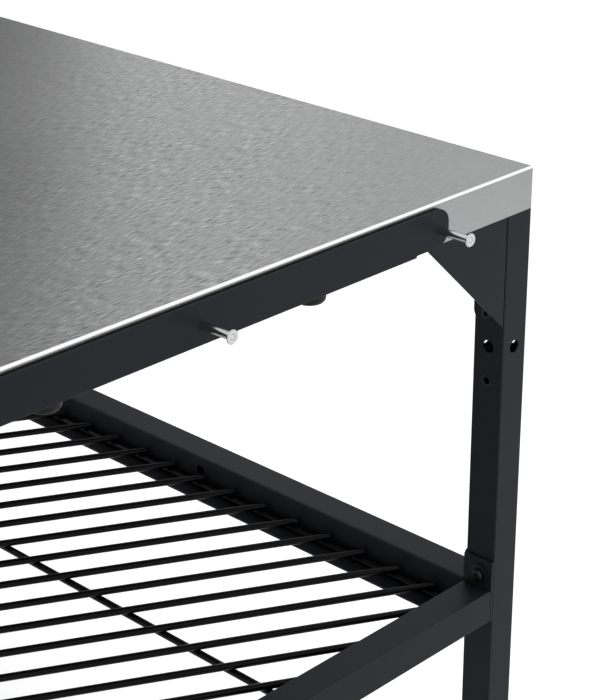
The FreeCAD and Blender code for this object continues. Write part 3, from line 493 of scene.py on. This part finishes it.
# %% Distance to the nearest peg's axis
peg_middle, peg_reach = span("pegs")
peg_pitch = (peg_reach.x - peg_reach.z) / 2  # a peg's head is as wide as it is high
tree, shader = start_finish("peg_steel", Metallic=1.0)
at = split(tree, add_node(tree, "TexCoord").outputs["Object"])
folded = reckon(tree, "PINGPONG", at["X"], peg_pitch)
sideways = reckon(tree, "MINIMUM", folded, reckon(tree, "SUBTRACT", peg_pitch, folded))
upwards = reckon(tree, "SUBTRACT", at["Z"], peg_middle.z)
from_axis = reckon(tree, "SQRT", plus(tree, times(tree, sideways, sideways), times(tree, upwards, upwards)))
print("pegs stand", round(peg_pitch * 1000, 1), "mm apart")

# %% [markdown]
# Two sines make the tool's marks: rings round the axis on the heads, and a fine
# thread of marks along the shanks.

# %% Polished pegs
RING_TURNS = 14000.0  # radians a metre, so a ring is 0.45 mm wide
MARK_TURNS = 9000.0

rings = reckon(tree, "SINE", times(tree, from_axis, RING_TURNS))
marks = reckon(tree, "SINE", times(tree, at["Y"], MARK_TURNS))
turned = plus(tree, times(tree, rings, 0.5), times(tree, marks, 0.5))
grain = use_group(tree, grain_group, Dimples=1500.0, Patches=120.0)
edges = use_group(tree, edge_group, Width=0.0004, Breakup=0.2)
color = mix_colors(tree, grain["Tone"], (0.5, 0.505, 0.51), (0.64, 0.645, 0.65))
rough = blend_range(tree, grain["Tone"], 0.12, 0.2)
end_finish(tree, shader, color, rough, turned, (0.06, 0.00005), edges["Normal"])

# %% [markdown]
# ### Bolts and plain steel
#
# The frame's bolts are blackened steel, dark with a soft shine and a lighter rim
# where a key has rubbed. Nuts, washers, axles and castor stems are zinc plated:
# pale, slightly cloudy metal. Both take the brushing group at a small scale,
# because such parts are cut from drawn bar.


# %% Fastener finishes
RUBBED_STEEL = (0.5, 0.5, 0.5)


def fastener_metal(slot, dark, light, roughness, rub):
    tree, shader = start_finish(slot, Metallic=1.0)
    place = add_node(tree, "TexCoord").outputs["Object"]
    drawn = use_group(tree, brush_group, Vector=place, Stroke=3.0)
    grain = use_group(tree, grain_group, Dimples=1600.0, Patches=160.0)
    edges = use_group(tree, edge_group, Width=0.0006, Breakup=0.5)
    mixed = plus(tree, times(tree, drawn["Tone"], 0.4), times(tree, grain["Tone"], 0.6))
    base = mix_colors(tree, mixed, dark, light)
    color = mix_colors(tree, times(tree, edges["Mask"], rub), base, RUBBED_STEEL)
    rough = blend_range(tree, mixed, roughness + 0.08, roughness - 0.06)
    end_finish(tree, shader, color, rough, grain["Height"], (0.12, 0.0002), edges["Normal"])


fastener_metal("black_steel", (0.02, 0.0202, 0.0215), (0.036, 0.0362, 0.038), roughness=0.4, rub=0.07)
fastener_metal("plain_steel", (0.42, 0.42, 0.425), (0.6, 0.6, 0.59), roughness=0.34, rub=0.2)

# %% [markdown]
# ### Plastics and rubber
#
# Knobs, plugs, wheel centres and pedals are moulded in black or grey plastic
# with a spark-eroded texture. The tyres are grey rubber, duller and dustier,
# with the tread scuffed where it runs. They differ in numbers only, so one
# function makes them all.


# %% Moulded finishes
SCUFF = 0.12
SCUFFED = (0.22, 0.21, 0.19)


def moulded(slot, dark, light, roughness, dimples, dust, bump):
    tree, shader = start_finish(slot, Specular_IOR_Level=0.2)
    grain = use_group(tree, grain_group, Dimples=dimples, Patches=30.0)
    edges = use_group(tree, edge_group, Width=0.001, Breakup=0.5)
    dusty = use_group(tree, dust_group, Amount=dust)
    base = mix_colors(tree, grain["Tone"], dark, light)
    scuffed = reckon(tree, "MAXIMUM", dusty["Mask"], times(tree, edges["Mask"], SCUFF))
    color = mix_colors(tree, scuffed, base, SCUFFED)
    rough = blend_range(tree, grain["Tone"], roughness - 0.06, roughness + 0.08)
    end_finish(tree, shader, color, rough, grain["Height"], (bump, 0.0003), edges["Normal"])


moulded(
    "knob_plastic", (0.006, 0.006, 0.0065), (0.011, 0.011, 0.0118), roughness=0.42, dimples=1400.0, dust=0.03, bump=0.2
)
moulded(
    "wheel_plastic", (0.03, 0.03, 0.031), (0.045, 0.045, 0.046), roughness=0.5, dimples=900.0, dust=0.08, bump=0.25
)
moulded(
    "pedal_plastic", (0.014, 0.014, 0.015), (0.024, 0.024, 0.025), roughness=0.42, dimples=1000.0, dust=0.1, bump=0.25
)
moulded(
    "tyre_rubber", (0.045, 0.045, 0.046), (0.075, 0.074, 0.072), roughness=0.72, dimples=500.0, dust=0.2, bump=0.45
)

# %% [markdown]
# ## Finishes on the CAD parts
#
# The CAD record says which finish each part takes, as a slot name. The parts
# keep their exact meshes, and only the material in their slot is changed.

# %% Dressing the CAD parts
for part in frame["record"]["subparts"]:
    for material_slot in frame["nodes"][part["node"]].material_slots:
        material_slot.material = finishes[part["material_slot"]]
print("finishes:", sorted(finishes))

# %% [markdown]
# ## Building small pieces
#
# The details are drawn point by point with bmesh. Every piece is a stack of
# rings of points with faces between them, so one helper joins rings and another
# turns the mesh into an object. The object rides on a body of the model, so it
# moves with it, and takes its finish from one of the model's slots.


# %% Helpers for small pieces
SHARP_FROM = math.radians(32)


def make_piece(name, mesh_maker, body, slot):
    mesh = bpy.data.meshes.new(name)
    bm = bmesh.new()
    mesh_maker(bm)
    bmesh.ops.recalc_face_normals(bm, faces=bm.faces)
    for face in bm.faces:
        face.smooth = True
    bm.to_mesh(mesh)
    bm.free()
    mesh.materials.append(finishes[slot])
    piece = bpy.data.objects.new(name, mesh)
    bpy.context.scene.collection.objects.link(piece)
    mesh.set_sharp_from_angle(angle=SHARP_FROM)
    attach(piece, body)
    return piece


def join_rings(bm, rows):
    """Faces between rows of vertices that all have the same count."""
    count = len(rows[0])
    for near_row, far_row in zip(rows[:-1], rows[1:]):
        for i in range(count):
            j = (i + 1) % count
            bm.faces.new((near_row[i], near_row[j], far_row[j], far_row[i]))


def add_rings(bm, rings):
    """A closed skin over rings of points."""
    rows = [[bm.verts.new(point) for point in ring] for ring in rings]
    join_rings(bm, rows)
    bm.faces.new(rows[0][::-1])
    bm.faces.new(rows[-1])


# %% [markdown]
# Two shapes cover nearly all details. A lathe turns a profile round an axis, and
# may squeeze its radius by angle, so that a round bar becomes a hexagon. A bead
# sweeps a small circle along a line, ripples as a weld does and tapers at its
# ends.


# %% A lathe and a weld bead
RIPPLE_HEIGHT = 0.1  # of the bead's radius
RINGS_A_RIPPLE = 4


def circle(centre, turn, steps, reach, along=0.0):
    """Points round a centre. reach gives the radius at an angle."""
    angles = [2 * math.pi * i / steps for i in range(steps)]
    return [centre + turn @ Vector((reach(a) * math.cos(a), reach(a) * math.sin(a), along)) for a in angles]


def lathe(bm, centre, axis, profile, steps=48, squeeze=None):
    """Turn (radius, distance along axis) pairs round an axis through centre."""
    turn = Vector(axis).normalized().to_track_quat("Z", "Y").to_matrix()
    rings = []
    for radius, along in profile:

        def reach(angle, radius=radius):
            return radius if squeeze is None else min(radius, squeeze(angle))

        rings.append(circle(Vector(centre), turn, steps, reach, along))
    add_rings(bm, rings)


def hexagon(across_flats):
    """Radius of a hexagon at an angle, for lathe to squeeze by."""
    sixth = math.pi / 3

    def radius(angle):
        return across_flats / 2 / math.cos((angle + sixth / 2) % sixth - sixth / 2)

    return radius


def bead(bm, start, end, radius, ripple=0.0022, sides=10):
    """A thin bar between two points, whose thickness ripples."""
    run = Vector(end) - Vector(start)
    turn = run.normalized().to_track_quat("Z", "Y").to_matrix()
    steps = max(6, int(run.length / ripple * RINGS_A_RIPPLE))
    rings = []
    for k in range(steps + 1):
        share = k / steps
        wave = 1 + RIPPLE_HEIGHT * math.cos(2 * math.pi * share * run.length / ripple)
        taper = min(1.0, 0.35 + 6 * min(share, 1 - share))
        thickness = radius * wave * taper
        rings.append(circle(Vector(start) + run * share, turn, sides, lambda angle: thickness))
    add_rings(bm, rings)


# %% [markdown]
# ## Welds on the shelf frame
#
# The shelf is a welded ring: square tubes meet flat end plates that are bolted
# to the legs. A bevel could round the corner where tube meets plate, but a weld
# is proud of both parts and uneven, so a rippled bead is swept across it under
# the same coat. The photograph shows the sides and the top ground flush, so the
# beads are only on the underside of each tube's two ends.


# %% Shelf weld beads
WELD_SUNK = 0.0004
WELD_FROM_CORNER = 0.003
WELD_RADIUS = 0.0014


def shelf_welds(bm):
    for side, axis in SIDES:
        low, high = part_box("shelf_rail_" + side)
        other = 1 - axis
        for end in (low, high):
            inward = WELD_SUNK if end is low else -WELD_SUNK
            points = []
            for beside in (low[other] + WELD_FROM_CORNER, high[other] - WELD_FROM_CORNER):
                point = [0, 0, low.z + WELD_SUNK]
                point[axis] = end[axis] + inward
                point[other] = beside
                points.append(point)
            bead(bm, *points, WELD_RADIUS)


weld_piece = make_piece("shelf_weld_beads", shelf_welds, "frame", "frame_coat")
print("shelf welds:", len(weld_piece.data.polygons), "faces")

# %% [markdown]
# The ledges under the rack are flat strips, stitched to the inside of the tubes
# with short runs of weld along the underside. A full seam would pull a thin
# strip out of line, so a maker welds 30 mm and skips 120 mm, as here.


# %% Ledge stitches
STITCH = 0.03
STITCH_PITCH = 0.15
FIRST_STITCH = 0.06
STITCH_RADIUS = 0.0016
TOUCHING = 0.002


def ledge_stitches(bm):
    for side, axis in SIDES:
        low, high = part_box("shelf_ledge_" + side)
        rail_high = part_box("shelf_rail_" + side)[1]
        other = 1 - axis
        outer = low[other] if abs(low[other] - rail_high[other]) < TOUCHING else high[other]
        start = low[axis] + FIRST_STITCH
        while start + STITCH < high[axis] - STITCH:
            points = []
            for along in (start, start + STITCH):
                point = [0, 0, low.z]
                point[axis] = along
                point[other] = outer
                points.append(point)
            bead(bm, *points, STITCH_RADIUS)
            start += STITCH_PITCH


stitch_piece = make_piece("ledge_stitch_welds", ledge_stitches, "frame", "frame_coat")
print("ledge stitches:", len(stitch_piece.data.polygons), "faces")

# %% [markdown]
# ## Welds in the rack
#
# The rack's wires are pressed together and fused by a current where they cross.
# The metal sinks a little and leaves a low collar between the two wires. To put
# a collar at each crossing, the script has to know the single wires, and the
# CAD node holds them all in one mesh. So the vertices are sorted into groups
# that edges join, one group for each wire.


# %% The wires, one by one
def loose_parts(node):
    """Vertices of each separate solid in a CAD node."""
    mesh = frame["nodes"][node].data
    parent = list(range(len(mesh.vertices)))

    def root(i):
        while parent[i] != i:
            parent[i] = parent[parent[i]]
            i = parent[i]
        return i

    spots = {}
    for i, vertex in enumerate(mesh.vertices):
        key = tuple(round(c, 6) for c in vertex.co)
        parent[root(i)] = root(spots.setdefault(key, i))
    for edge in mesh.edges:
        parent[root(edge.vertices[0])] = root(edge.vertices[1])
    groups = {}
    for i, vertex in enumerate(mesh.vertices):
        groups.setdefault(root(i), []).append(vertex.co.copy())
    return list(groups.values())


slanting_wires = []
for points in loose_parts("rack_wires"):
    left = min(points, key=lambda p: p.x)
    right = max(points, key=lambda p: p.x)
    slanting_wires.append((left, right))
cross_wires = []
for points in loose_parts("rack_cross_wires"):
    xs = [p.x for p in points]
    cross_wires.append(((min(xs) + max(xs)) / 2, max(p.z for p in points)))
print("slanting wires:", len(slanting_wires), "cross wires:", len(cross_wires))

# %% [markdown]
# A slanting wire's Y at a cross wire follows from its two ends. A collar stands
# there, at the height where the wires touch, as a small turned bulge.


# %% Collars at the wire crossings
COLLAR_PROFILE = [(0.0012, -0.0016), (0.0024, -0.0012), (0.003, 0.0), (0.0024, 0.0012), (0.0012, 0.0016)]
COLLAR_STEPS = 20
COLLAR_FROM_END = 0.006


def rack_collars(bm):
    for left, right in slanting_wires:
        slope = (right.y - left.y) / (right.x - left.x)
        for x, top in cross_wires:
            if left.x + COLLAR_FROM_END < x < right.x - COLLAR_FROM_END:
                y = left.y + slope * (x - left.x)
                lathe(bm, (x, y, top), (0, 0, 1), COLLAR_PROFILE, steps=COLLAR_STEPS)


collar_piece = make_piece("rack_weld_collars", rack_collars, "rack", "wire_coat")
faces_each = COLLAR_STEPS * (len(COLLAR_PROFILE) - 1) + 2
print("rack collars:", len(collar_piece.data.polygons) // faces_each)

# %% [markdown]
# ## Castor details
#
# A castor is the busiest small thing on the table, and the CAD model has plain
# discs there. Each detail rides on the body that carries it, so the ribs spin
# with the wheel and the grips tip with the pedal.
#
# The axle is a hexagon bolt with a locking nut. A hexagon is a round profile
# squeezed by the lathe, with a small chamfer on its outer face. The CAD axle has
# round ends, so this piece replaces it.


# %% Axle bolts
SHANK_RADIUS = 0.004


def axle_bolt(corner):
    centre, size = span("castor_axle_" + corner)
    pedal_low, pedal_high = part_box("brake_pedal_" + corner)
    cheek = (pedal_high.y - pedal_low.y) / 2
    end = size.y / 2
    head = size.z / 2
    flats = head * 2 * math.cos(math.pi / 6)

    def build(bm):
        def turned(profile, squeeze=None):
            lathe(bm, centre, (0, 1, 0), profile, squeeze=squeeze)

        turned([(SHANK_RADIUS, -cheek), (SHANK_RADIUS, cheek)])
        bolt = [(head * 0.99, -cheek), (head * 0.99, -end + 0.0009), (flats / 2 * 0.96, -end)]
        turned(bolt, hexagon(flats))
        turned([(head * 0.99, cheek), (head * 0.99, cheek + 0.0008)])
        nut = [(head * 0.93, cheek + 0.0008), (head * 0.93, end - 0.0007), (flats / 2 * 0.9, end - 0.0002)]
        turned(nut, hexagon(flats * 0.93))
        turned([(SHANK_RADIUS * 0.97, end - 0.0006), (SHANK_RADIUS * 0.8, end)])

    piece = make_piece("axle_bolt_" + corner, build, "castor_" + corner, "plain_steel")
    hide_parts("castor_axle_" + corner)


for corner in CORNERS:
    axle_bolt(corner)
print("axle bolts:", len(CORNERS))

# %% [markdown]
# The wheel centre is moulded with ribs between rim and boss, eight on each side
# of its web. A rib narrows to its top, so that it leaves the mould, and dips in
# the middle.


# %% Wheel ribs
RIBS_A_SIDE = 8
RIB_THICKNESS = 0.0022
RIB_FROM, RIB_TO = 0.0045, 0.0098  # how far a rib's foot and top are from the wheel's middle plane
BOSS_REACH = 0.0105
RIM_THICKNESS = 0.0035


def rib(bm, middle, angle, rim, side):
    away = Vector((math.cos(angle), 0, math.sin(angle)))
    beside = Vector((-math.sin(angle), 0, math.cos(angle)))
    foot = side * RIB_FROM
    rings = []
    for share in (0.0, 0.25, 0.5, 0.75, 1.0):
        radius = BOSS_REACH + (rim - BOSS_REACH) * share
        top = foot + side * (RIB_TO - RIB_FROM) * (0.82 + 0.18 * math.cos(2 * math.pi * share))
        ring = []
        for half, y in ((-1, foot), (-0.7, top), (0.7, top), (1, foot)):
            ring.append(middle + away * radius + beside * (half * RIB_THICKNESS / 2) + Vector((0, y, 0)))
        rings.append(ring)
    add_rings(bm, rings)


def wheel_ribs(corner):
    hub_low, hub_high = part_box("wheel_hub_" + corner)
    rim = (hub_high.z - hub_low.z) / 2 - RIM_THICKNESS

    def build(bm):
        for side in (-1, 1):
            for k in range(RIBS_A_SIDE):
                angle = 2 * math.pi * (k + 0.25) / RIBS_A_SIDE
                rib(bm, wheel_centre[corner], angle, rim, side)

    make_piece("wheel_ribs_" + corner, build, "wheel_" + corner, "wheel_plastic")


for corner in CORNERS:
    wheel_ribs(corner)
print("ribs on each wheel:", 2 * RIBS_A_SIDE)

# %% [markdown]
# The swivel's two rows of balls are closed by a crimped dust ring under the
# head. Its profile is a soft bulge, given as radii and as depths below the top
# of the fork.


# %% Swivel dust rings
RING_PROFILE = [
    (0.0168, 0.0032),
    (0.0184, 0.0036),
    (0.0192, 0.0026),
    (0.0188, 0.0012),
    (0.0172, 0.0004),
    (0.0158, 0.0002),
]


def dust_ring(corner):
    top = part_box("castor_fork_" + corner)[1].z
    axis = (leg_axis[corner].x, leg_axis[corner].y, 0)

    def build(bm):
        profile = [(radius, top - depth) for radius, depth in RING_PROFILE]
        lathe(bm, axis, (0, 0, 1), profile, steps=64)

    make_piece("swivel_ring_" + corner, build, "castor_" + corner, "castor_steel")


for corner in CORNERS:
    dust_ring(corner)
print("swivel rings:", len(CORNERS))

# %% [markdown]
# The pedal has low ribs for a shoe. They lie across its sloping plate, one
# behind the other, and each is a bead with no ripple.


# %% Pedal grips
GRIPS = 6
GRIP_RADIUS = 0.0008
FIRST_GRIP, GRIP_PITCH = 0.010, 0.0038  # from the pedal's pivot outwards
PIVOT_FROM_LEG = 0.044
PEDAL_LENGTH, PEDAL_FALL = 0.034, 0.003
GRIP_SUNK = 0.0003
GRIP_FROM_CHEEK = 0.0075


def pedal_grips(corner):
    leg = leg_axis[corner]
    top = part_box("brake_pedal_" + corner)[1].z
    outward = 1 if leg.x < 0 else -1
    fork_low, fork_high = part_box("castor_fork_" + corner)
    wide = (fork_high.y - fork_low.y) / 2 - GRIP_FROM_CHEEK

    def build(bm):
        for k in range(GRIPS):
            along = FIRST_GRIP + GRIP_PITCH * k
            x = leg.x + outward * (PIVOT_FROM_LEG + along)
            z = top - GRIP_SUNK - along / PEDAL_LENGTH * PEDAL_FALL
            bead(bm, (x, leg.y - wide, z), (x, leg.y + wide, z), GRIP_RADIUS, ripple=0.02, sides=8)

    make_piece("pedal_grips_" + corner, build, "brake_" + corner, "pedal_plastic")


for corner in CORNERS:
    pedal_grips(corner)
print("pedal grips:", GRIPS * len(CORNERS))

# %% [markdown]
# ## Floor
#
# The photograph has a white ground. The floor is a large plain disc. It is
# diffuse, so it keeps the table's shadow. What the camera or a mirror sees of it
# gets a little light of its own, which lifts it to white without putting more
# light on the table.


# %% A pale floor that keeps the shadow
FLOOR_RINGS = (0.5, 1.5, 4.0, 9.0, 16.0)
FLOOR_STEPS = 64
LIFT_SEEN, LIFT_MIRRORED = 0.58, 0.25


def floor_disc(bm):
    angles = [2 * math.pi * i / FLOOR_STEPS for i in range(FLOOR_STEPS)]
    rows = [[bm.verts.new((r * math.cos(a), r * math.sin(a), 0)) for a in angles] for r in FLOOR_RINGS]
    bm.faces.new(rows[0])
    join_rings(bm, rows)


mesh = bpy.data.meshes.new("floor")
bm = bmesh.new()
floor_disc(bm)
bmesh.ops.recalc_face_normals(bm, faces=bm.faces)
bm.to_mesh(mesh)
bm.free()
floor = bpy.data.objects.new("floor", mesh)
bpy.context.scene.collection.objects.link(floor)
pale = bpy.data.materials.new("pale_floor")
pale.use_nodes = True
tree = pale.node_tree
shader = tree.nodes["Principled BSDF"]
shader.inputs["Base Color"].default_value = (0.86, 0.86, 0.86, 1)
shader.inputs["Roughness"].default_value = 0.9
shader.inputs["Specular IOR Level"].default_value = 0.1
shader.inputs["Emission Color"].default_value = (1, 1, 1, 1)
path = add_node(tree, "LightPath").outputs
seen = times(tree, path["Is Camera Ray"], LIFT_SEEN)
mirrored = times(tree, path["Is Glossy Ray"], LIFT_MIRRORED)
tree.links.new(plus(tree, seen, mirrored), shader.inputs["Emission Strength"])
mesh.materials.append(pale)
print("floor across:", 2 * FLOOR_RINGS[-1], "m")

# %% [markdown]
# ## Light
#
# The front faces of the table are its brightest dark faces, and its left side is
# darker. So the main light is a large soft panel in front, high and to the
# right, and a weaker, broad one fills from the left. The main one is kept out of
# mirrors: from behind, the worktop would show it as a white blot. A grey world
# gives the rest, and shows itself white to the camera and in reflections.


# %% World and lamps
WORLD_LIGHT = 0.5
WORLD_SEEN = 1.0

world = bpy.data.worlds.new("studio")
bpy.context.scene.world = world
world.use_nodes = True
tree = world.node_tree
sky = tree.nodes["Background"]
sky.inputs["Color"].default_value = (1, 1, 1, 1)
path = add_node(tree, "LightPath").outputs
seen = reckon(tree, "MAXIMUM", path["Is Camera Ray"], path["Is Glossy Ray"])
seen = reckon(tree, "MAXIMUM", seen, path["Is Transmission Ray"])
extra = times(tree, seen, WORLD_SEEN - WORLD_LIGHT)
tree.links.new(plus(tree, extra, WORLD_LIGHT), sky.inputs["Strength"])


def soft_panel(name, place, aim, width, height, watts):
    lamp = bpy.data.lights.new(name, "AREA")
    lamp.shape = "RECTANGLE"
    lamp.size = width
    lamp.size_y = height
    lamp.energy = watts
    panel = bpy.data.objects.new(name, lamp)
    bpy.context.scene.collection.objects.link(panel)
    panel.location = place
    panel.rotation_euler = (Vector(place) - Vector(aim)).to_track_quat("Z", "Y").to_euler()
    return panel


main_light = soft_panel("main_light", (1.9, -2.6, 2.5), (0.1, -0.2, 0.7), width=2.6, height=2.4, watts=66)
main_light.visible_glossy = False
soft_panel("fill_light", (-2.8, -0.6, 1.35), (0, 0, 0.55), width=3.0, height=2.4, watts=11)

# %% [markdown]
# A polished thing shows the room. In the photograph the left part of the
# worktop is darker than the rest, because it mirrors something dark, and the
# right corner is a little darker than the middle. Photographers stand cards
# round such a thing for this. Two cards behind the table do the same here. They
# are seen in mirrors only: the camera and the shadows pass them by. The dark
# one's right edge leans, because the dark part of the worktop widens to the
# back.


# %% Cards for the worktop to mirror
def mirrored_card(name, corners, grey):
    mesh = bpy.data.meshes.new(name)
    mesh.from_pydata(corners, [], [(0, 1, 2, 3)])
    card = bpy.data.objects.new(name, mesh)
    bpy.context.scene.collection.objects.link(card)
    card.visible_camera = False
    card.visible_shadow = False
    finish = bpy.data.materials.new(name)
    finish.use_nodes = True
    shader = finish.node_tree.nodes["Principled BSDF"]
    shader.inputs["Base Color"].default_value = (grey, grey, grey, 1)
    shader.inputs["Roughness"].default_value = 1.0
    mesh.materials.append(finish)
    print(name, "in metres:", [round(v, 1) for v in card.dimensions])


mirrored_card("dark_card", [(0.6, 2.66, 0.05), (2.46, 2.255, 0.05), (1.72, 2.415, 4.2), (0.6, 2.66, 4.2)], grey=0.34)
mirrored_card("pale_card", [(3.05, 2.15, 0.05), (4.6, 0.5, 0.05), (4.6, 0.5, 1.5), (3.05, 2.15, 1.5)], grey=0.7)

# %% [markdown]
# ## Camera
#
# The camera stands where the photographer's stood. Its place, its direction and
# its lens were worked out from the photograph: the table's three families of
# parallel edges meet in three vanishing points, and those fix all but the
# scale. They are set here as one matrix, whose columns are the camera's right,
# its up, its back and its place. The place is counted from the worktop's front
# right corner, the one point that the photograph shows best.

# %% The photographer's view
FROM_CORNER = Vector((-1.59967, -1.206303, 0.677661))

eye = bpy.data.cameras.new("eye")
eye.lens = 102.801
eye.sensor_width = 36.0
eye.sensor_fit = "AUTO"
eye.clip_end = 60.0
camera = bpy.data.objects.new("eye", eye)
bpy.context.scene.collection.objects.link(camera)
right = Vector((0.694444, -0.719538, -0.003576))
up = Vector((0.295752, 0.2809, 0.913031))
back = Vector((-0.655957, -0.635106, 0.407874))
low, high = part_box("worktop")
near_corner = Vector((high.x, low.y, high.z))
axes = Matrix((right, up, back)).transposed().to_4x4()
camera.matrix_world = Matrix.Translation(near_corner + FROM_CORNER) @ axes
bpy.context.scene.camera = camera
bpy.context.scene.view_settings.view_transform = "Standard"
print("camera looks down by", round(math.degrees(math.asin(back.z)), 1), "degrees")

# %% [markdown]
# ## Bringing the scene up to date
#
# The view layer is updated once more at the end.

# %% The last update
bpy.context.view_layer.update()
